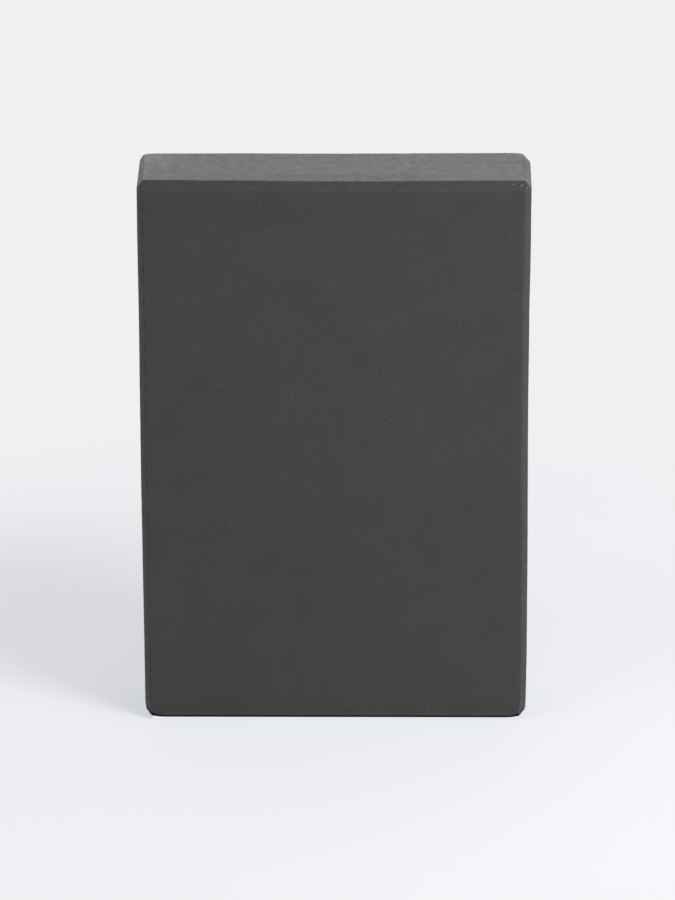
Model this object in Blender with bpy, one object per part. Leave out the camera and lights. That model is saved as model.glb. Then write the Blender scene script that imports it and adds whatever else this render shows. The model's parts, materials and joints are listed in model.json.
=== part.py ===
"""Pilates block: one solid slab of closed-cell foam with a bevel along every edge.

The block stands on one of its short ends. Z is up, Y runs through the thickness, and the
origin is at the middle of the end that it stands on. All sizes are in metres.
"""

import itertools
import math

import bmesh
import bpy
from mathutils import Vector

# Driving dimensions of the block
BLOCK_HEIGHT = 0.305
BLOCK_WIDTH = 0.205
BLOCK_THICKNESS = 0.050

# Each bevel is one straight pass of a cutter, which takes this much off both faces at the edge
BEVEL_LEG = 0.004

# Foam can't hold a knife edge: every arris that the cutter leaves is rounded over this width
ARRIS_WIDTH = 0.0004
ARRIS_SEGMENTS = 2

# Charcoal foam, with the low gloss of a skived surface
FOAM_COLOUR = (0.04, 0.04, 0.04, 1.0)
FOAM_ROUGHNESS = 0.5
FOAM_METALLIC = 0.0

# Faces that meet at less than this angle are shaded as one rounded surface
SMOOTH_LIMIT = math.radians(35)


def clear_scene():
    """Removes whatever the scene holds before the block is made."""
    for old in list(bpy.data.objects):
        bpy.data.objects.remove(old, do_unlink=True)


def foam_material():
    """The one material of the block: matt charcoal foam."""
    material = bpy.data.materials.new("charcoal_foam")
    material.use_nodes = True
    shader = material.node_tree.nodes["Principled BSDF"]
    shader.inputs["Base Color"].default_value = FOAM_COLOUR
    shader.inputs["Roughness"].default_value = FOAM_ROUGHNESS
    shader.inputs["Metallic"].default_value = FOAM_METALLIC
    return material


def sawn_blank(size):
    """The slab as it comes off the saw: a plain box with its centre at the origin."""
    bm = bmesh.new()
    bmesh.ops.create_cube(bm, size=1.0)
    bmesh.ops.scale(bm, vec=size, verts=bm.verts)
    return bm


def bevel_pass(bm, corner, outward):
    """One pass of the cutter: takes off all foam beyond a plane, and closes the cut."""
    cut = bmesh.ops.bisect_plane(
        bm,
        geom=[*bm.verts, *bm.edges, *bm.faces],
        plane_co=corner,
        plane_no=outward,
        clear_outer=True,
    )
    rim = [item for item in cut["geom_cut"] if isinstance(item, bmesh.types.BMEdge)]
    bmesh.ops.edgeloop_fill(bm, edges=rim)


def cut_bevels(bm, size):
    """Bevels the twelve edges of the box, so that the passes mitre at its eight corners.

    The two faces that meet at an edge stand along two of the three axes. The cutter's plane
    leans at 45 degrees to both, and passes through the line where the first face ends,
    BEVEL_LEG in from the edge.
    """
    half = size / 2
    for first, second in itertools.combinations(range(3), 2):
        for first_side, second_side in itertools.product((-1, 1), repeat=2):
            outward = Vector((0, 0, 0))
            outward[first] = first_side
            outward[second] = second_side
            line_on_first_face = Vector((0, 0, 0))
            line_on_first_face[first] = first_side * half[first]
            line_on_first_face[second] = second_side * (half[second] - BEVEL_LEG)
            bevel_pass(bm, line_on_first_face, outward)


def round_arrises(bm):
    """Rounds every edge that the saw and the cutter left, as soft foam rounds by itself."""
    bmesh.ops.bevel(
        bm,
        geom=list(bm.edges),
        offset=ARRIS_WIDTH,
        offset_type="OFFSET",
        segments=ARRIS_SEGMENTS,
        profile=0.5,
        affect="EDGES",
        clamp_overlap=False,
        material=-1,
    )
    bmesh.ops.recalc_face_normals(bm, faces=bm.faces)


def foam_block():
    """The block: the only piece, cut from one slab with nothing glued on or set in."""
    size = Vector((BLOCK_WIDTH, BLOCK_THICKNESS, BLOCK_HEIGHT))
    bm = sawn_blank(size)
    cut_bevels(bm, size)
    round_arrises(bm)
    mesh = bpy.data.meshes.new("foam_block")
    bm.to_mesh(mesh)
    bm.free()
    mesh.materials.append(foam_material())
    mesh.shade_smooth()
    mesh.set_sharp_from_angle(angle=SMOOTH_LIMIT)
    block = bpy.data.objects.new("foam_block", mesh)
    block.location.z = BLOCK_HEIGHT / 2
    bpy.context.scene.collection.objects.link(block)
    return block


clear_scene()
foam_block()
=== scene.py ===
"""Pilates block: the look of one solid foam block, standing in a pale studio.

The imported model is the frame. The block made here stands for its one node: the same slab and
bevels, with the soft arrises, slightly hollow sides, skived grain and knocked corner of real
closed-cell foam. Sizes are in metres, Z is up, and the front of the block faces -Y.
"""

import itertools
import json
import math

import bmesh
import bpy
from bpy.props import FloatProperty, FloatVectorProperty, IntProperty, PointerProperty
from mathutils import Matrix, Vector, noise


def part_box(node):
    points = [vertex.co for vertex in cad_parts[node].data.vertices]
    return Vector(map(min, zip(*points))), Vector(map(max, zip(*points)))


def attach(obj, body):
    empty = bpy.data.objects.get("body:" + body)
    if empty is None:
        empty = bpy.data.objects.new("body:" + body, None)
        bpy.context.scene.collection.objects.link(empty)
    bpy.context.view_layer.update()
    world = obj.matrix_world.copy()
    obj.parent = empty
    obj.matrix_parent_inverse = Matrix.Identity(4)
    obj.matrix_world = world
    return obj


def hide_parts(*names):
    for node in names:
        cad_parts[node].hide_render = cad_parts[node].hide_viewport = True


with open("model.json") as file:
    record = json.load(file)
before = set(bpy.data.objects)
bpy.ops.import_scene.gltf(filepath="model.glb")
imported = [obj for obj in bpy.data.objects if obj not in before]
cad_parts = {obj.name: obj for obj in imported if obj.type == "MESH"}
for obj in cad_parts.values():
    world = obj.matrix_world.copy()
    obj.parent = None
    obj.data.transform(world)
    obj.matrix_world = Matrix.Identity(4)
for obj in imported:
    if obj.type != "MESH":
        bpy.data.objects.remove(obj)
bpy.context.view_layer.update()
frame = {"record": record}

bl_info = {
    "name": "Pilates Block",
    "version": (1, 0, 0),
    "blender": (4, 5, 0),
    "location": "3D View > Sidebar > Pilates Block",
    "description": "Makes a bevelled foam pilates block and the pale studio that it stands in",
    "category": "Add Mesh",
}

BLOCK_LOW, BLOCK_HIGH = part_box("foam_block")
FOAM_COLOUR = frame["record"]["materials"][0]["base_color"][:3]

# Photograph's frame, which the camera's framing was worked out in
PHOTO_HEIGHT_PX = 900
SENSOR_MM = 36.0

# Softboxes: width, height, distance from the block, azimuth and elevation in degrees
SOFTBOXES = {
    "key": (1.5, 0.8, 5.0, 52, 42),
    "fill": (1.2, 0.8, 4.0, -52, 52),
    "side": (0.4, 0.4, 0.6, 52, 32),
    "near": (0.5, 0.5, 0.8, 42, 45),
    "back": (3.6, 0.8, 2.2, 180, 30),
}

# Where the saw ran on the long sides: height on the block, and how far inside the drawn side
LEFT_SAW_LINE = (
    (0.000, 0.00078), (0.045, 0.00072), (0.090, 0.00056), (0.135, 0.00042),
    (0.180, 0.00048), (0.225, 0.00060), (0.270, 0.00046), (0.305, 0.00052),
)
RIGHT_SAW_LINE = (
    (0.000, 0.00085), (0.045, 0.00047), (0.090, 0.00047), (0.135, 0.00068),
    (0.180, 0.00083), (0.225, 0.00064), (0.270, 0.00020), (0.305, 0.00002),
)

# Where the cutter ran along the top end: place across the block, how far further back, and how far lower
FRONT_ARRIS_LINE = (
    (-0.1025, 0.0006, 0.0), (-0.055, 0.0001, 0.0001), (-0.012, -0.0003, 0.0004),
    (0.022, -0.0003, 0.0004), (0.062, -0.0001, 0.0001), (0.1025, 0.0, 0.0),
)
BACK_ARRIS_LINE = (
    (-0.1025, -0.0001, 0.0), (-0.045, 0.0001, 0.0), (-0.010, -0.0002, 0.0),
    (0.020, 0.0, 0.0), (0.050, 0.0005, 0.0), (0.0845, 0.0009, 0.0), (0.1025, 0.0010, 0.0),
)

# How far outside the drawn place the side bevels' inner arrises lie, at the front and at the back
LEFT_EASE = (0.0010, 0.0012)
RIGHT_EASE = (0.0007, -0.0003)

# How far below the drawn place the foot bevels' upper arrises lie
FOOT_EASE = 0.0012

# Corners worn round and rubbed: place, radius, depth, and how polished
WORN_CORNERS = (
    ((-0.0985, 0.0160, 0.3050), 0.0150, 0.00005, 1.0),
    ((-0.0985, 0.0215, 0.3050), 0.0020, 0.0004, 0.0),
    ((0.1005, 0.0230, 0.3030), 0.0040, 0.0010, 0.0),
    ((-0.1005, -0.0230, 0.0020), 0.0045, 0.0015, 0.0),
    ((0.1005, -0.0230, 0.0020), 0.0045, 0.0015, 0.0),
)

# Knocks in the foam: place from the block's middle and foot, radii, and depth. A lip has a depth below 0.
KNOCKS = (
    ((0.0938, -0.0228, 0.3032), (0.0009, 0.0005, 0.0005), 0.00035),
    ((0.0979, -0.0230, 0.3030), (0.0007, 0.0006, 0.0006), 0.00045),
    ((0.0919, -0.0225, 0.3035), (0.0005, 0.0004, 0.0004), -0.00018),
    ((0.0961, -0.0230, 0.3030), (0.0009, 0.0005, 0.0005), -0.00020),
    ((0.0990, -0.0236, 0.3022), (0.0007, 0.0006, 0.0007), -0.00022),
    ((0.0952, 0.0060, 0.3050), (0.0010, 0.0030, 0.0006), 0.00020),
    ((0.0981, 0.0000, 0.3050), (0.0005, 0.0070, 0.0005), 0.00030),
    ((0.0987, -0.0130, 0.3050), (0.0005, 0.0050, 0.0005), 0.00050),
    ((0.0981, 0.0196, 0.3050), (0.0009, 0.0012, 0.0009), 0.00025),
    ((0.1008, -0.0237, 0.1462), (0.0009, 0.0009, 0.0016), 0.00030),
    ((0.0990, -0.0250, 0.1480), (0.0005, 0.0005, 0.0006), 0.00030),
)

# Grid round the knocks: how far beyond them it is finer, the longest edge that stays whole, and the cuts
KNOCK_REACH = 0.0015
KNOCK_WHOLE_EDGE = 0.0004
KNOCK_CUTS = 4

# Tearing inside the knocks: distance between its highs, and share of the knock's depth
TEAR_LENGTH = 0.0006
TEAR_SHARE = 0.6

# Noise of the ripple and the waver: how fast finer waves weaken, how much finer each is, and how many
NOISE_FALL, NOISE_STEP, NOISE_WAVES = 1.0, 2.0, 3

# Distance between the highs of the cutter's waver
WAVER_LENGTH = 0.006

# How far from an arris the cutter's waver and the rub reach
ARRIS_REACH = 0.0012

# Heights between which the ripple and the waver set in, because the foot itself stands flat
FOOT_FADE = (0.0005, 0.006)

# Distances from the foot bevels' upper arrises between which the painted highlight there fades out
FOOT_HIGHLIGHT_FADE = (0.0005, 0.0025)

# The saw's and the cutter's straying sets in at this share of the way from the middle to the side
STRAY_START = 0.4

# How far below the top end the cutter's straying reaches
STRAY_DEPTH = 0.01

# The bevels' ease has faded to nothing on the flats this many bevel legs in
EASE_LEGS = 10.0

# The side bevels' ease is all that of the back from this share of the half thickness behind the middle
EASE_BACK = 0.3

# The foot bevels' ease sets in at this share of the half thickness
FOOT_EASE_START = 0.6

# Across the width, it sets in between these numbers of bevel legs from the sides
FOOT_EASE_LEGS = (0.5, 2.5)

# Corners of a bevel's face before its arrises are rounded
BEVEL_CORNERS = 6

# A direction with this much of its length along an axis counts as running along it
ALONG_AXIS = 0.999

# A place this close to a side of the drawn box lies on a flat face
ON_FLAT = 0.0001

# Hands polish only faces whose normals point up by more than this
FACES_UP = 0.9

# How far beyond the block, sideways and forwards, the floor is painted dark for the foam, as painted
# contact shade
PAINTED_SHADE_MARGINS = (0.003, 0.004)

# The same for where it is fully in its own colour for the camera. Below 0 is inside the block's outline.
GAP_MARGINS = (-0.005, -0.0015)

# Material of the flats, of the bevels and arrises, and of the two ends
FLAT, ROUTED, CUT_END = 0, 1, 2

# Coarseness of the materials: 1 where the foam was skived, and more where a cutter or a saw tore it
COARSENESS = {"skived_foam": 1.0, "routed_foam": 1.8, "cut_end_foam": 2.8}

# Mottle of skived foam: width of its specks, and strength of its specks, lumps and flecks
SPECK_SIZE = 0.0014
MOTTLE = {"Specks": 1.6, "Pebbles": 0.35, "Clouds": 0.8, "Drifts": 0.35, "Flecks": 1.2}

# What the mottle is made of: how many specks wide each kind of lump is, and its finer detail
LUMPS = {
    "Specks": (1.0, 1.0),
    "Pebbles": (3.5, 1.0),
    "Clouds": (14.0, 0.5),
    "Drifts": (50.0, 0.0),
    "Patches": (25.0, 2.0),
    "Flecks": (1.1, 1.0),
}

# Noise between which the specks go from faint to strong, and how faint and strong they are
PATCH_NOISE = (0.3, 0.7)
PATCH_STRENGTH = (0.1, 2.0)

# Noise between which a fleck goes from nothing to its full paleness
FLECK_NOISE = (0.66, 0.78)

# Rub along the arrises: length of its stretches, noise between which they set in, and how narrow it is
RUB_STRETCH = 0.006
RUB_NOISE = (0.42, 0.68)
RUB_NARROWING = 2.0

# Depths of a knock between which its lips turn pale and its pit turns dark with painted shade, and how
# dark
LIP_DEPTHS = (0.0, -0.0002)
PIT_DEPTHS = (0.00005, 0.0004)
PAINTED_PIT_SHADE = -0.4

# Patches of duller and glossier foam: their size, and how far apart their roughness is
GLOSS_PATCH = 0.005
GLOSS_SPREAD = 0.2
SHEEN_ROUGHNESS = 0.5

# Floor: its radius, edges round it, and distances between which it fades into the backdrop
FLOOR_RADIUS = 8.0
FLOOR_EDGES = 96
FLOOR_FADE = (0.22, 0.45)

# Shade of the block on the floor: how far it reaches, share of open sky in full shade, and samples
SHADE_REACH = 0.2
SHADED_SKY = 0.4
SHADE_SAMPLES = 4

# Painted shade: colour that the foam sees on the floor right under the block and just round it
PAINTED_SHADE_COLOUR = (0.02, 0.02, 0.02, 1)

# How far the camera sees
CAMERA_REACH = 50.0


class BlockShape(bpy.types.PropertyGroup):
    """Sizes of the block that the frame's box doesn't give."""

    bevel_leg: FloatProperty(
        name="Bevel Leg",
        description="How far each bevel reaches in from its edge, on both faces",
        default=0.004,
        min=0.001,
        max=0.015,
        unit="LENGTH",
        subtype="DISTANCE",
    )
    arris_width: FloatProperty(
        name="Arris Width",
        description="How far the rounding of each cut edge reaches",
        default=0.0004,
        min=0.0001,
        max=0.002,
        unit="LENGTH",
        subtype="DISTANCE",
    )
    arris_segments: IntProperty(
        name="Arris Segments",
        description="Faces across the rounding of each cut edge",
        default=3,
        min=1,
        max=6,
    )
    mesh_pitch: FloatProperty(
        name="Mesh Pitch",
        description="Size of the mesh faces that take the unevenness of the foam",
        default=0.0017,
        min=0.001,
        max=0.02,
        unit="LENGTH",
        subtype="DISTANCE",
    )
    stray: FloatProperty(
        name="Saw Stray",
        description="Share of the saw's and the cutter's straying that the block gets",
        default=1.0,
        min=0.0,
        max=2.0,
        subtype="FACTOR",
    )
    ripple_depth: FloatProperty(
        name="Ripple Depth",
        description="How far the skiving blade strays into the foam",
        default=0.00008,
        min=0.0,
        max=0.001,
        unit="LENGTH",
        subtype="DISTANCE",
    )
    ripple_length: FloatProperty(
        name="Ripple Length",
        description="Distance between the highs of the skived surface",
        default=0.028,
        min=0.005,
        max=0.2,
        unit="LENGTH",
        subtype="DISTANCE",
    )
    arris_waver: FloatProperty(
        name="Arris Waver",
        description="How far the cutter's line wavers along each arris",
        default=0.00005,
        min=0.0,
        max=0.001,
        unit="LENGTH",
        subtype="DISTANCE",
    )


class FoamFinish(bpy.types.PropertyGroup):
    """Colour and surface of the foam."""

    charcoal: FloatVectorProperty(
        name="Charcoal",
        description="Mean colour of the foam",
        default=FOAM_COLOUR,
        min=0.0,
        max=1.0,
        subtype="COLOR",
    )
    routed_shade: FloatProperty(
        name="Routed Shade",
        description="Colour of the bevels as a share of that of the flats",
        default=0.865,
        min=0.0,
        max=1.5,
        subtype="FACTOR",
    )
    skived_roughness: FloatProperty(
        name="Skived Roughness",
        description="Mean roughness of the flats",
        default=0.4,
        min=0.0,
        max=1.0,
        subtype="FACTOR",
    )
    routed_roughness: FloatProperty(
        name="Routed Roughness",
        description="Mean roughness of the bevels",
        default=0.45,
        min=0.0,
        max=1.0,
        subtype="FACTOR",
    )
    specular: FloatProperty(
        name="Specular",
        description="Strength of the reflections, which is 0.5 on solid plastic",
        default=0.25,
        min=0.0,
        max=1.0,
        subtype="FACTOR",
    )
    cell_size: FloatProperty(
        name="Cell Size",
        description="Width of the grain that the cut cells leave",
        default=0.0009,
        min=0.0001,
        max=0.01,
        unit="LENGTH",
        subtype="DISTANCE",
    )
    cell_depth: FloatProperty(
        name="Cell Depth",
        description="Depth of the grain",
        default=0.000024,
        min=0.0,
        max=0.001,
        unit="LENGTH",
        subtype="DISTANCE",
    )
    grain_contrast: FloatProperty(
        name="Grain Contrast",
        description="How much lighter and darker than the mean the grain gets",
        default=0.25,
        min=0.0,
        max=1.0,
        subtype="FACTOR",
    )
    torn: FloatVectorProperty(
        name="Torn Foam",
        description="Colour of the lips round the knocks",
        default=(0.082, 0.082, 0.082),
        min=0.0,
        max=1.0,
        subtype="COLOR",
    )
    rub: FloatProperty(
        name="Edge Rub",
        description="How much lighter the foam is where its arrises are rubbed",
        default=0.5,
        min=0.0,
        max=1.0,
        subtype="FACTOR",
    )
    # Painted highlight: the light line where the floor's light catches the foot bevels' upper arrises,
    # painted as lighter foam
    painted_foot_highlight: FloatProperty(
        name="Foot Rub",
        description="How much lighter the foam is where it is rubbed just above the foot bevels",
        default=0.6,
        min=0.0,
        max=1.0,
        subtype="FACTOR",
    )
    polish: FloatProperty(
        name="Polish",
        description="How much less rough the foam is at a corner that hands have polished",
        default=0.12,
        min=0.0,
        max=0.5,
        subtype="FACTOR",
    )
    sheen: FloatProperty(
        name="Sheen",
        description="Soft light that the open cells catch at a low angle",
        default=0.15,
        min=0.0,
        max=1.0,
        subtype="FACTOR",
    )


class StudioSetup(bpy.types.PropertyGroup):
    """Camera, lamps and pale ground of the studio."""

    focal_px: FloatProperty(
        name="Focal Length",
        description="Focal length in pixels of a 675 x 900 frame",
        default=6352.15,
        min=500.0,
        max=20000.0,
    )
    camera_place: FloatVectorProperty(
        name="Camera Place",
        description="Where the camera stands",
        default=(0.04180, -3.10992, 1.42245),
        subtype="TRANSLATION",
        unit="LENGTH",
    )
    camera_pan: FloatProperty(
        name="Camera Pan",
        description="Turn of the camera to the left",
        default=math.radians(0.7462),
        subtype="ANGLE",
        unit="ROTATION",
    )
    camera_tilt: FloatProperty(
        name="Camera Tilt",
        description="How far the camera looks down",
        default=math.radians(22.3159),
        subtype="ANGLE",
        unit="ROTATION",
    )
    camera_roll: FloatProperty(
        name="Camera Roll",
        description="Turn of the camera about its line of sight",
        default=math.radians(-0.2047),
        subtype="ANGLE",
        unit="ROTATION",
    )
    key_power: FloatProperty(
        name="Key Power",
        description="Power of the softbox at the right",
        default=150.5,
        min=0.0,
        unit="POWER",
        subtype="POWER",
    )
    side_power: FloatProperty(
        name="Side Power",
        description="Power of the weak softbox close to the right side",
        default=1.38,
        min=0.0,
        unit="POWER",
        subtype="POWER",
    )
    fill_power: FloatProperty(
        name="Fill Power",
        description="Power of the softbox at the left",
        default=23.0,
        min=0.0,
        unit="POWER",
        subtype="POWER",
    )
    near_power: FloatProperty(
        name="Near Power",
        description="Power of the weak softbox close to the front and above it",
        default=0.8,
        min=0.0,
        unit="POWER",
        subtype="POWER",
    )
    back_power: FloatProperty(
        name="Back Power",
        description="Power of the broad softbox behind",
        default=9.15,
        min=0.0,
        unit="POWER",
        subtype="POWER",
    )
    lamp_colour: FloatVectorProperty(
        name="Lamp Colour",
        description="Colour of the softboxes' light",
        default=(1.0, 0.993, 0.978),
        min=0.0,
        max=1.0,
        subtype="COLOR",
    )
    ambient: FloatProperty(
        name="Ambient",
        description="Strength of the light from all around",
        default=0.02,
        min=0.0,
        max=2.0,
    )
    paleness: FloatProperty(
        name="Paleness",
        description="Share of the floor's look that no shadow reaches",
        default=0.7,
        min=0.0,
        max=1.0,
        subtype="FACTOR",
    )
    pale: FloatVectorProperty(
        name="Pale Floor",
        description="Colour of the open floor",
        default=(0.925, 0.931, 0.962),
        min=0.0,
        max=1.0,
        subtype="COLOR",
    )
    shaded: FloatVectorProperty(
        name="Shaded Floor",
        description="Colour of the floor where the block hides more than half of the sky",
        default=(0.795, 0.822, 0.915),
        min=0.0,
        max=1.0,
        subtype="COLOR",
    )
    backdrop: FloatVectorProperty(
        name="Backdrop",
        description="Colour of the far floor and of all that lies behind it",
        default=(0.863, 0.871, 0.89),
        min=0.0,
        max=1.0,
        subtype="COLOR",
    )


def add_node(tree, kind, label, inputs=None, **options):
    """Adds a labelled node, sets its options, and then sets or links its inputs."""
    made = tree.nodes.new(kind)
    made.label = label
    for option, value in options.items():
        setattr(made, option, value)
    for socket, value in (inputs or {}).items():
        if isinstance(value, bpy.types.NodeSocket):
            tree.links.new(value, made.inputs[socket])
        else:
            made.inputs[socket].default_value = value
    return made


def new_group(name, inputs, outputs):
    """An empty shader group with the given float or vector sockets, and its two end nodes."""
    group = bpy.data.node_groups.new(name, "ShaderNodeTree")
    for socket, kind in inputs.items():
        group.interface.new_socket(name=socket, in_out="INPUT", socket_type=kind)
    for socket, kind in outputs.items():
        group.interface.new_socket(name=socket, in_out="OUTPUT", socket_type=kind)
    return group, group.nodes.new("NodeGroupInput"), group.nodes.new("NodeGroupOutput")


def math_node(tree, label, operation, first, second, third=None):
    """The result of one sum, on numbers or sockets."""
    given = {0: first, 1: second} if third is None else {0: first, 1: second, 2: third}
    return add_node(tree, "ShaderNodeMath", label, given, operation=operation).outputs[0]


def scale_of(tree, length):
    """A texture scale that gives features of the length."""
    return math_node(tree, "Per metre", "DIVIDE", 1.0, length)


def noise_texture(tree, label, place, scale, detail, roughness):
    """Noise from 0 to 1, mostly near 0.5."""
    return add_node(
        tree, "ShaderNodeTexNoise", label,
        {"Vector": place, "Scale": scale, "Detail": detail, "Roughness": roughness},
    ).outputs["Fac"]


def ramp(tree, label, value, between, results=(0.0, 1.0), **options):
    """Turns a value between two numbers into one between the two results, and never beyond them."""
    return add_node(
        tree, "ShaderNodeMapRange", label,
        {
            "Value": value,
            "From Min": between[0],
            "From Max": between[1],
            "To Min": results[0],
            "To Max": results[1],
        },
        **options,
    ).outputs["Result"]


def read_mask(tree, label, name):
    """The value of one of the block's masks."""
    return add_node(tree, "ShaderNodeAttribute", label, attribute_name=name).outputs["Fac"]


def mix_colours(tree, label, share, first, second):
    """The first colour at a share of 0, and the second at 1."""
    given = {"Factor": share, "A": first, "B": second}
    return add_node(tree, "ShaderNodeMix", label, given, data_type="RGBA").outputs["Result"]


def mix_shaders(tree, label, share, first, second):
    """The first shader node at a share of 0, and the second at 1."""
    given = {0: share, 1: first.outputs[0], 2: second.outputs[0]}
    return add_node(tree, "ShaderNodeMixShader", label, given)


def foam_grain_group():
    """Grain of cut closed cells: low in each cell, high on the walls between them, from 0 to 1."""
    group, given, result = new_group(
        "foam_grain",
        {"Vector": "NodeSocketVector", "Cell Size": "NodeSocketFloat"},
        {"Height": "NodeSocketFloat"},
    )
    scale = scale_of(group, given.outputs["Cell Size"])
    cells = add_node(
        group, "ShaderNodeTexVoronoi", "Cells",
        {"Vector": given.outputs["Vector"], "Scale": scale, "Randomness": 1.0, "Smoothness": 0.6},
        feature="SMOOTH_F1",
    )
    pores = noise_texture(group, "Pores", given.outputs["Vector"], scale, detail=2.0, roughness=0.7)
    height = math_node(group, "Cells and pores", "ADD", cells.outputs["Distance"], pores)
    group.links.new(math_node(group, "Halved", "MULTIPLY", height, 0.5), result.inputs["Height"])
    return group


def foam_mottle_group():
    """Lighter and darker foam as a number round 0: lumps of four sizes, and pale flecks.

    The smallest lumps, the specks, are strong in some patches and faint in others.
    """
    group, given, result = new_group(
        "foam_mottle",
        {"Vector": "NodeSocketVector", "Speck Size": "NodeSocketFloat"}
        | {name: "NodeSocketFloat" for name in MOTTLE},
        {"Shade": "NodeSocketFloat"},
    )

    def lumps(name):
        specks_wide, detail = LUMPS[name]
        size = math_node(group, f"Size of {name}", "MULTIPLY", given.outputs["Speck Size"], specks_wide)
        scale = scale_of(group, size)
        return noise_texture(group, name, given.outputs["Vector"], scale, detail, roughness=0.7)

    patches = ramp(group, "Patches of specks", lumps("Patches"), PATCH_NOISE, PATCH_STRENGTH)
    flecks = ramp(group, "Rare flecks", lumps("Flecks"), FLECK_NOISE)
    total = math_node(group, "Flecks alone", "MULTIPLY", flecks, given.outputs["Flecks"])
    for name in ("Specks", "Pebbles", "Clouds", "Drifts"):
        shade = math_node(group, f"{name} round 0", "SUBTRACT", lumps(name), 0.5)
        if name == "Specks":
            shade = math_node(group, "Specks in patches", "MULTIPLY", shade, patches)
        total = math_node(group, f"With {name}", "MULTIPLY_ADD", shade, given.outputs[name], total)
    group.links.new(total, result.inputs["Shade"])
    return group


def edge_rub_group():
    """Where the arrises are rubbed pale, in broken stretches, from 0 to 1."""
    group, given, result = new_group(
        "edge_rub",
        {"Vector": "NodeSocketVector", "Stretch": "NodeSocketFloat"},
        {"Rub": "NodeSocketFloat"},
    )
    scale = scale_of(group, given.outputs["Stretch"])
    stretches = noise_texture(
        group, "Stretches", given.outputs["Vector"], scale, detail=3.0, roughness=0.6,
    )
    broken = ramp(group, "Broken up", stretches, RUB_NOISE)
    arris = read_mask(group, "Near an arris", "arris")
    narrow = math_node(group, "Narrow", "POWER", arris, RUB_NARROWING)
    rubbed = math_node(group, "Rubbed", "MULTIPLY", broken, narrow)
    group.links.new(rubbed, result.inputs["Rub"])
    return group


def foam_material(name, finish, charcoal, roughness, groups):
    """Foam of the colour, as coarse as the material of that name is."""
    coarseness = COARSENESS[name]
    material = bpy.data.materials.new(name)
    material.use_nodes = True
    tree = material.node_tree
    shader = tree.nodes["Principled BSDF"]
    place = add_node(tree, "ShaderNodeTexCoord", "Place").outputs["Object"]
    grain = add_node(
        tree, "ShaderNodeGroup", "Grain", {"Vector": place, "Cell Size": finish.cell_size},
        node_tree=groups["grain"],
    ).outputs["Height"]
    strengths = {**MOTTLE, "Specks": MOTTLE["Specks"] * coarseness}
    mottle = add_node(
        tree, "ShaderNodeGroup", "Mottle", {"Vector": place, "Speck Size": SPECK_SIZE, **strengths},
        node_tree=groups["mottle"],
    ).outputs["Shade"]
    rub = add_node(
        tree, "ShaderNodeGroup", "Rub", {"Vector": place, "Stretch": RUB_STRETCH},
        node_tree=groups["rub"],
    ).outputs["Rub"]
    foot = read_mask(tree, "Near the foot", "foot")
    knock = read_mask(tree, "Knock", "knock")
    pit = ramp(tree, "Pits", knock, PIT_DEPTHS)
    torn = ramp(tree, "Torn lips", knock, LIP_DEPTHS)
    shade = math_node(tree, "Shade", "MULTIPLY", mottle, finish.grain_contrast)
    shade = math_node(tree, "Rubbed shade", "MULTIPLY_ADD", rub, finish.rub, shade)
    # Painted highlight: lighter foam just above the foot bevels
    shade = math_node(tree, "Shade at the foot", "MULTIPLY_ADD", foot, finish.painted_foot_highlight, shade)
    # Painted shade: the knocks' pits darker, where shade falls in them
    shade = math_node(tree, "Pitted shade", "MULTIPLY_ADD", pit, PAINTED_PIT_SHADE, shade)

    # Half way from black to twice the charcoal is the charcoal itself
    share = math_node(tree, "From dark to light", "MULTIPLY_ADD", shade, 0.5, 0.5)
    double = [channel * 2.0 for channel in charcoal] + [1.0]
    colour = mix_colours(tree, "Charcoal", share, (0.0, 0.0, 0.0, 1.0), double)
    colour = mix_colours(tree, "Torn foam", torn, colour, (*finish.torn, 1.0))
    patches = noise_texture(tree, "Patches", place, 1 / GLOSS_PATCH, detail=4.0, roughness=0.75)
    spread = GLOSS_SPREAD * coarseness
    dulled = math_node(tree, "Patchy gloss", "MULTIPLY_ADD", patches, spread, roughness - spread / 2)
    polish = read_mask(tree, "Polished", "polish")
    dulled = math_node(tree, "Gloss with polish", "MULTIPLY_ADD", polish, -finish.polish, dulled)
    bump = add_node(
        tree, "ShaderNodeBump", "Relief", {"Height": grain, "Distance": finish.cell_depth * coarseness},
    )
    tree.links.new(colour, shader.inputs["Base Color"])
    tree.links.new(dulled, shader.inputs["Roughness"])
    tree.links.new(bump.outputs["Normal"], shader.inputs["Normal"])
    shader.inputs["Specular IOR Level"].default_value = finish.specular
    shader.inputs["Sheen Weight"].default_value = finish.sheen
    shader.inputs["Sheen Roughness"].default_value = SHEEN_ROUGHNESS
    return material


def sawn_slab(low, high):
    """The slab as it comes off the saw: a plain box between two corners."""
    bm = bmesh.new()
    bmesh.ops.create_cube(bm, size=1.0)
    bmesh.ops.scale(bm, vec=high - low, verts=bm.verts)
    bmesh.ops.translate(bm, vec=(low + high) / 2, verts=bm.verts)
    return bm


def bevel_pass(bm, corner, outward):
    """One pass of the cutter: takes off all foam beyond a plane, and closes the cut."""
    cut = bmesh.ops.bisect_plane(
        bm,
        geom=[*bm.verts, *bm.edges, *bm.faces],
        plane_co=corner,
        plane_no=outward,
        clear_outer=True,
    )
    rim = [item for item in cut["geom_cut"] if isinstance(item, bmesh.types.BMEdge)]
    bmesh.ops.edgeloop_fill(bm, edges=rim)


def cut_bevels(bm, low, high, leg):
    """Bevels the twelve edges at 45 degrees, so that the passes mitre at the eight corners."""
    centre = (low + high) / 2
    half = (high - low) / 2
    for first, second in itertools.combinations(range(3), 2):
        for first_side, second_side in itertools.product((-1, 1), repeat=2):
            outward = Vector((0, 0, 0))
            outward[first] = first_side
            outward[second] = second_side
            corner = centre.copy()
            corner[first] += first_side * half[first]
            corner[second] += second_side * (half[second] - leg)
            bevel_pass(bm, corner, outward)


def split_bevels(bm):
    """Parts each bevel along its middle, so that the block has only four-sided faces."""
    tips = [
        tip for tip in bm.verts if all(len(face.verts) == BEVEL_CORNERS for face in tip.link_faces)
    ]
    return bmesh.ops.connect_verts(bm, verts=tips)["edges"]


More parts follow.
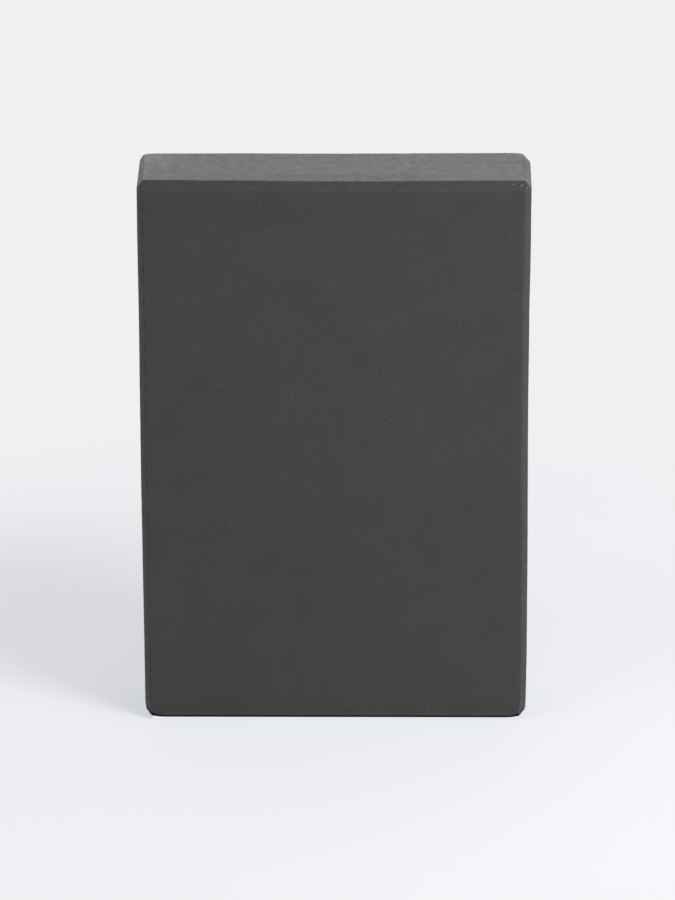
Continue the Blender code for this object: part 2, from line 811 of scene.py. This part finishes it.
def round_arrises(bm, arrises, width, segments):
    """Rounds the edges that the saw and the cutter left."""
    bmesh.ops.bevel(
        bm,
        geom=arrises,
        offset=width,
        offset_type="OFFSET",
        segments=segments,
        profile=0.5,
        affect="EDGES",
        clamp_overlap=False,
        material=-1,
    )
    bmesh.ops.recalc_face_normals(bm, faces=bm.faces)


def run_of(edge):
    """The axis that an edge runs along, or None for the slanted edges of the mitres."""
    along = (edge.verts[1].co - edge.verts[0].co).normalized()
    return next((axis for axis in range(3) if abs(along[axis]) > ALONG_AXIS), None)


def lay_grid(bm, leg, pitch):
    """Cuts the long faces into a grid, fine enough to take the foam's unevenness.

    The roundings at the corners have slanted edges too, far shorter than half a bevel leg.
    """
    mitres = [edge for edge in bm.edges if run_of(edge) is None and edge.calc_length() > leg / 2]
    bmesh.ops.subdivide_edges(bm, edges=mitres, cuts=1, use_grid_fill=True)
    for axis in range(3):
        runs = [edge for edge in bm.edges if edge.calc_length() > 2 * leg and run_of(edge) == axis]
        cuts = round((BLOCK_HIGH[axis] - BLOCK_LOW[axis]) / pitch) - 1
        bmesh.ops.subdivide_edges(bm, edges=runs, cuts=cuts, use_grid_fill=True)


def is_by_a_knock(edge):
    """Whether both ends of an edge lie within reach of one knock."""
    return any(
        all(
            abs(vert.co[axis] - centre[axis]) < radii[axis] + KNOCK_REACH
            for axis in range(3)
            for vert in edge.verts
        )
        for centre, radii, _ in KNOCKS
    )


def refine_knocks(bm):
    """Cuts the grid finer where the foam is knocked."""
    near = [
        edge for edge in bm.edges if is_by_a_knock(edge) and edge.calc_length() > KNOCK_WHOLE_EDGE
    ]
    bmesh.ops.subdivide_edges(bm, edges=near, cuts=KNOCK_CUTS, use_grid_fill=True)


def hill(offset, reach):
    """A smooth hill of height 1, which fades out at about twice its reach."""
    return math.exp(-((offset / reach) ** 2))


def fade(value, start, end):
    """Rises smoothly from 0 at the start to 1 at the end."""
    share = min(max((value - start) / (end - start), 0.0), 1.0)
    return share * share * (3.0 - 2.0 * share)


def along(line, where):
    """What a line of the saw or the cutter gives at a place along it."""
    for before, after in itertools.pairwise(line):
        if where <= after[0]:
            share = fade(where, before[0], after[0])
            return [low + share * (high - low) for low, high in zip(before[1:], after[1:])]
    return list(line[-1][1:])


def stray_of_saw(place, half):
    """How far a place moves sideways as the long sides were sawn, fading to nothing mid face."""
    line = LEFT_SAW_LINE if place.x < 0 else RIGHT_SAW_LINE
    inwards = along(line, place.z)[0]
    near = fade(abs(place.x), STRAY_START * half.x, half.x)
    return Vector((-math.copysign(inwards, place.x) * near, 0, 0))


def stray_of_cutter(place, half, leg):
    """How far a place moves back and down as the top end's two long arrises were cut."""
    line = FRONT_ARRIS_LINE if place.y < 0 else BACK_ARRIS_LINE
    back, down = along(line, place.x)
    near_top = fade(place.z, BLOCK_HIGH.z - STRAY_DEPTH, BLOCK_HIGH.z)
    near = near_top * fade(abs(place.y), STRAY_START * half.y, half.y - leg)
    return Vector((0, back, -down)) * (near * min((half.y - abs(place.y)) / leg, 1.0))


def nearness(inset, leg):
    """1 at a bevel's inner arris. Falls evenly to 0 at the outer one, and softly to 0 on the flat."""
    return inset / leg if inset < leg else 1.0 - fade(inset, leg, EASE_LEGS * leg)


def ease_of_bevels(place, half, leg):
    """How far a place moves where the cutter took less than drawn off the sides and the foot."""
    front, back = LEFT_EASE if place.x < 0 else RIGHT_EASE
    inset = half.x - abs(place.x)
    backness = fade(place.y, -half.y, EASE_BACK * half.y)
    sideways = (front + (back - front) * backness) * nearness(inset, leg)
    near_face = fade(abs(place.y), FOOT_EASE_START * half.y, half.y - leg)
    lower = FOOT_EASE * nearness(place.z, leg) * near_face
    start, end = FOOT_EASE_LEGS
    return Vector((math.copysign(sideways, place.x), 0, -lower * fade(inset, start * leg, end * leg)))


def wear_of_corners(place):
    """How far the foam is worn back at a place, how much of a worn corner it is, and how polished."""
    worn = share = polished = 0.0
    for corner, radius, depth, polish in WORN_CORNERS:
        near = hill((place - Vector(corner)).length, radius)
        worn += near * depth
        share = max(share, near)
        polished = max(polished, near * polish)
    return worn, share, polished


def insets(place):
    """How far inside the drawn box a place lies along each axis."""
    return [min(place[axis] - BLOCK_LOW[axis], BLOCK_HIGH[axis] - place[axis]) for axis in range(3)]


def arris_distance(place, leg):
    """Distance from a place on the surface to the nearest arris."""
    nearest, second, _ = sorted(insets(place))
    return abs(second - leg) if nearest < ON_FLAT else nearest * math.sqrt(2)


def painted_highlight_above_foot(place, leg):
    """Painted highlight: 1 on the flat faces just above the foot bevels, falling to 0 a little higher."""
    return 1.0 - fade(abs(place.z - leg), *FOOT_HIGHLIGHT_FADE) if min(insets(place)) < ON_FLAT else 0.0


def depth_of_knocks(place):
    """How deep the foam is knocked in at a place. It is below 0 on the lips."""
    knock = 0.0
    for centre, radii, depth in KNOCKS:
        away = Vector([(place[axis] - centre[axis]) / radii[axis] for axis in range(3)]).length
        knock += depth * hill(away, 1.0)
    return knock


def waves(place, length):
    """Noise round 0, whose highs lie about the length apart."""
    return noise.fractal(
        place / length, NOISE_FALL, NOISE_STEP, NOISE_WAVES, noise_basis="PERLIN_ORIGINAL",
    )


def make_uneven(bm, shape):
    """Moves the vertices from the drawn block to the sawn, skived and knocked one.

    Returns the masks of the finish: how near each vertex is to an arris or a worn corner, how near
    to the foot bevels for the painted highlight there, how polished, and how badly knocked.
    """
    half = (BLOCK_HIGH - BLOCK_LOW) / 2
    leg = shape.bevel_leg
    masks = {"arris": [], "foot": [], "polish": [], "knock": []}
    for vert in bm.verts:
        place = vert.co.copy()
        normal = vert.normal.copy()
        near = 1.0 - fade(arris_distance(place, leg), 0.0, ARRIS_REACH)
        waver = shape.arris_waver * near * (0.5 + waves(place, WAVER_LENGTH))
        ripple = 0.5 + 0.5 * waves(place, shape.ripple_length)
        inwards = shape.ripple_depth * ripple + waver
        move = normal * (-max(inwards, 0.0) * fade(place.z, *FOOT_FADE))
        strays = stray_of_saw(place, half) + stray_of_cutter(place, half, leg)
        move += shape.stray * (strays + ease_of_bevels(place, half, leg))
        worn, corner_share, polish = wear_of_corners(place)
        move -= normal * worn
        knock = depth_of_knocks(place)
        rough = 1.0 + TEAR_SHARE * noise.noise(place / TEAR_LENGTH)
        move -= normal * (knock * rough)
        vert.co = place + move
        masks["arris"].append(max(near, corner_share))
        masks["foot"].append(painted_highlight_above_foot(place, leg))
        masks["polish"].append(polish if normal.z > FACES_UP else 0.0)
        masks["knock"].append(knock)
    return masks


def add_mask(mesh, name, values):
    """Keeps one value for each vertex, for the finish to read."""
    mask = mesh.attributes.new(name, "FLOAT", "POINT")
    mask.data.foreach_set("value", values)


def build_foam_block(shape):
    """The block's mesh, from the slab to its last knock."""
    bm = sawn_slab(BLOCK_LOW, BLOCK_HIGH)
    cut_bevels(bm, BLOCK_LOW, BLOCK_HIGH, shape.bevel_leg)
    middles = set(split_bevels(bm))
    arrises = [edge for edge in bm.edges if edge not in middles]
    round_arrises(bm, arrises, shape.arris_width, shape.arris_segments)
    for face in bm.faces:
        face.material_index = FLAT if max(abs(share) for share in face.normal) > ALONG_AXIS else ROUTED
        if abs(face.normal.z) > ALONG_AXIS:
            face.material_index = CUT_END
    lay_grid(bm, shape.bevel_leg, shape.mesh_pitch)
    refine_knocks(bm)
    bm.normal_update()
    masks = make_uneven(bm, shape)
    mesh = bpy.data.meshes.new("foam_block_skin")
    bm.to_mesh(mesh)
    bm.free()
    for name, values in masks.items():
        add_mask(mesh, name, values)
    return mesh


class PILATES_OT_foam_block(bpy.types.Operator):
    """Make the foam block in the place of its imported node"""

    bl_idname = "pilates.foam_block"
    bl_label = "Foam Block"

    def execute(self, context):
        mesh = build_foam_block(context.scene.pilates_shape)
        block = bpy.data.objects.new("foam_block_skin", mesh)
        context.scene.collection.objects.link(block)
        mesh.shade_smooth()
        finish = context.scene.pilates_finish
        groups = {"grain": foam_grain_group(), "mottle": foam_mottle_group(), "rub": edge_rub_group()}
        routed_charcoal = [channel * finish.routed_shade for channel in finish.charcoal]
        for name, charcoal, roughness in (
            ("skived_foam", finish.charcoal, finish.skived_roughness),
            ("routed_foam", routed_charcoal, finish.routed_roughness),
            ("cut_end_foam", finish.charcoal, finish.skived_roughness),
        ):
            mesh.materials.append(foam_material(name, finish, charcoal, roughness, groups))
        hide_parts("foam_block")
        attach(block, "root")
        return {"FINISHED"}


def pale_world(backdrop_colour, ambient):
    """Even light from all around. What the camera and reflections see of it is the backdrop."""
    world = bpy.data.worlds.new("pale_studio")
    world.use_nodes = True
    tree = world.node_tree
    tree.nodes.clear()
    light = add_node(
        tree, "ShaderNodeBackground", "Ambient", {"Color": (1, 1, 1, 1), "Strength": ambient},
    )
    backdrop = add_node(
        tree, "ShaderNodeBackground", "Backdrop", {"Color": (*backdrop_colour, 1), "Strength": 1.0},
    )
    either = mix_shaders(tree, "Ambient or backdrop", shown_to(tree), light, backdrop)
    add_node(tree, "ShaderNodeOutputWorld", "World", {"Surface": either.outputs[0]})
    return world


def shown_to(tree):
    """1 for what the camera sees, directly, mirrored or through glass."""
    path = add_node(tree, "ShaderNodeLightPath", "Ray").outputs
    seen = math_node(tree, "Seen or mirrored", "MAXIMUM", path["Is Camera Ray"], path["Is Glossy Ray"])
    return math_node(tree, "Or seen through", "MAXIMUM", seen, path["Is Transmission Ray"])


def floor_mask(tree, label, place, margins):
    """1 on the floor under the block and as far round it as the margins, and 0 elsewhere."""
    sides = add_node(
        tree, "ShaderNodeVectorMath", "Either side", {0: place}, operation="ABSOLUTE",
    ).outputs[0]
    parts = add_node(tree, "ShaderNodeSeparateXYZ", "Across and back", {0: sides}).outputs
    limits = BLOCK_HIGH.x + margins[0], BLOCK_HIGH.y + margins[1]
    across = math_node(tree, "Within the width", "LESS_THAN", parts["X"], limits[0])
    back = math_node(tree, "Within the thickness", "LESS_THAN", parts["Y"], limits[1])
    return math_node(tree, label, "MULTIPLY", across, back)


def floor_material(studio):
    """Pale floor, which shows a share of its own colour whatever falls on it, and fades into the backdrop.

    Right under the block it is painted dark for the foam, as painted shade that its bevels mirror, and
    pale for the camera.
    """
    material = bpy.data.materials.new("pale_floor")
    material.use_nodes = True
    tree = material.node_tree
    tree.nodes.clear()
    shown = shown_to(tree)
    camera_ray = add_node(tree, "ShaderNodeLightPath", "Ray").outputs["Is Camera Ray"]
    place = add_node(tree, "ShaderNodeTexCoord", "Place").outputs["Object"]

    # The floor near the block: lit, or in its own colour, which is deeper in the block's shade
    open_sky = add_node(
        tree, "ShaderNodeAmbientOcclusion", "Open sky", {"Distance": SHADE_REACH}, samples=SHADE_SAMPLES,
    ).outputs["AO"]
    openness = ramp(tree, "Openness", open_sky, (SHADED_SKY, 1.0))
    pale = mix_colours(tree, "Shaded or open", openness, (*studio.shaded, 1), (*studio.pale, 1))
    lit = add_node(tree, "ShaderNodeBsdfDiffuse", "Lit floor", {"Color": (*studio.pale, 1)})
    glow = add_node(tree, "ShaderNodeEmission", "Own colour", {"Color": pale, "Strength": 1.0})
    gap = floor_mask(tree, "Gap under the bevels", place, GAP_MARGINS)
    in_gap = math_node(tree, "Gap that the camera sees", "MULTIPLY", gap, camera_ray)
    share = math_node(tree, "Share shown", "MULTIPLY", shown, studio.paleness)
    share = math_node(tree, "All of it in the gap", "MAXIMUM", share, in_gap)
    near = mix_shaders(tree, "Lit or own colour", share, lit, glow)

    # The far floor, in the backdrop's colour
    away = add_node(tree, "ShaderNodeVectorMath", "Distance", {0: place}, operation="LENGTH")
    fade_out = ramp(tree, "Fade", away.outputs["Value"], FLOOR_FADE, interpolation_type="SMOOTHSTEP")
    far_share = math_node(tree, "Far share shown", "MULTIPLY", fade_out, shown)
    far = add_node(
        tree, "ShaderNodeEmission", "Backdrop's colour", {"Color": (*studio.backdrop, 1), "Strength": 1.0},
    )
    open_floor = mix_shaders(tree, "Near or far", far_share, near, far)

    # Painted shade: the floor right under the block and just round it is dark for all but the camera
    under = floor_mask(tree, "Under the block", place, PAINTED_SHADE_MARGINS)
    unseen = math_node(tree, "Not for the camera", "SUBTRACT", 1.0, camera_ray)
    painted_shade_share = math_node(tree, "Dark share", "MULTIPLY", under, unseen)
    # Painted shade: a dark floor for the foam's reflections and bounce light
    dark = add_node(tree, "ShaderNodeBsdfDiffuse", "Dark", {"Color": PAINTED_SHADE_COLOUR})
    surface = mix_shaders(tree, "Open or under the block", painted_shade_share, open_floor, dark)
    add_node(tree, "ShaderNodeOutputMaterial", "Floor", {"Surface": surface.outputs[0]})
    return material


def softbox(name, power, width, height, distance, azimuth, elevation, target):
    """A soft lamp that looks at the target. Azimuth 0 is in front, and 90 degrees is at the right."""
    data = bpy.data.lights.new(name, "AREA")
    data.shape = "RECTANGLE"
    data.size = width
    data.size_y = height
    data.energy = power
    lamp = bpy.data.objects.new(name, data)
    bpy.context.scene.collection.objects.link(lamp)
    turn = Matrix.Rotation(math.radians(azimuth), 3, "Z")
    lift = Matrix.Rotation(math.radians(-elevation), 3, "X")
    away = turn @ lift @ Vector((0, -1, 0))
    lamp.location = target + away * distance
    lamp.rotation_euler = away.to_track_quat("Z", "Y").to_euler()
    lamp.visible_camera = False
    return lamp


def make_floor(scene, studio):
    """A round floor, larger than any view of the block needs."""
    bm = bmesh.new()
    bmesh.ops.create_circle(bm, cap_ends=True, segments=FLOOR_EDGES, radius=FLOOR_RADIUS)
    mesh = bpy.data.meshes.new("studio_floor")
    bm.to_mesh(mesh)
    bm.free()
    mesh.materials.append(floor_material(studio))
    floor = bpy.data.objects.new("studio_floor", mesh)
    floor.location.z = BLOCK_LOW.z
    scene.collection.objects.link(floor)


def make_camera(scene, studio):
    """The camera of the photograph, found from the block's edges."""
    data = bpy.data.cameras.new("photo_camera")
    data.sensor_width = SENSOR_MM
    data.lens = studio.focal_px * SENSOR_MM / PHOTO_HEIGHT_PX
    data.clip_end = CAMERA_REACH
    camera = bpy.data.objects.new("photo_camera", data)
    scene.collection.objects.link(camera)
    camera.matrix_world = (
        Matrix.Translation(studio.camera_place)
        @ Matrix.Rotation(studio.camera_pan, 4, "Z")
        @ Matrix.Rotation(math.radians(90) - studio.camera_tilt, 4, "X")
        @ Matrix.Rotation(studio.camera_roll, 4, "Z")
    )
    scene.camera = camera


class PILATES_OT_studio(bpy.types.Operator):
    """Make the pale floor, the backdrop, the soft lamps and the camera"""

    bl_idname = "pilates.studio"
    bl_label = "Studio"

    def execute(self, context):
        studio = context.scene.pilates_studio
        scene = context.scene
        make_floor(scene, studio)
        scene.world = pale_world(studio.backdrop, studio.ambient)
        target = (BLOCK_LOW + BLOCK_HIGH) / 2
        for name, (width, height, distance, azimuth, elevation) in SOFTBOXES.items():
            power = getattr(studio, f"{name}_power")
            lamp = softbox(f"{name}_softbox", power, width, height, distance, azimuth, elevation, target)
            lamp.data.color = studio.lamp_colour
        make_camera(scene, studio)
        scene.view_settings.view_transform = "Standard"
        return {"FINISHED"}


class PILATES_PT_sidebar(bpy.types.Panel):
    """Lists the sizes, the finish and the studio, with a button for each thing to make"""

    bl_label = "Pilates Block"
    bl_space_type = "VIEW_3D"
    bl_region_type = "UI"
    bl_category = "Pilates Block"

    def draw(self, context):
        for heading, settings, operator in (
            ("Block", context.scene.pilates_shape, PILATES_OT_foam_block),
            ("Foam", context.scene.pilates_finish, None),
            ("Studio", context.scene.pilates_studio, PILATES_OT_studio),
        ):
            column = self.layout.column(align=True)
            column.label(text=heading)
            for name in settings.bl_rna.properties.keys():
                if name not in ("rna_type", "name"):
                    column.prop(settings, name)
            if operator:
                column.operator(operator.bl_idname)


CLASSES = (
    BlockShape,
    FoamFinish,
    StudioSetup,
    PILATES_OT_foam_block,
    PILATES_OT_studio,
    PILATES_PT_sidebar,
)


def register():
    for each in CLASSES:
        bpy.utils.register_class(each)
    bpy.types.Scene.pilates_shape = PointerProperty(type=BlockShape)
    bpy.types.Scene.pilates_finish = PointerProperty(type=FoamFinish)
    bpy.types.Scene.pilates_studio = PointerProperty(type=StudioSetup)


def unregister():
    del bpy.types.Scene.pilates_studio
    del bpy.types.Scene.pilates_finish
    del bpy.types.Scene.pilates_shape
    for each in reversed(CLASSES):
        bpy.utils.unregister_class(each)


def main():
    register()
    bpy.ops.pilates.foam_block()
    bpy.ops.pilates.studio()


if __name__ == "__main__":
    main()
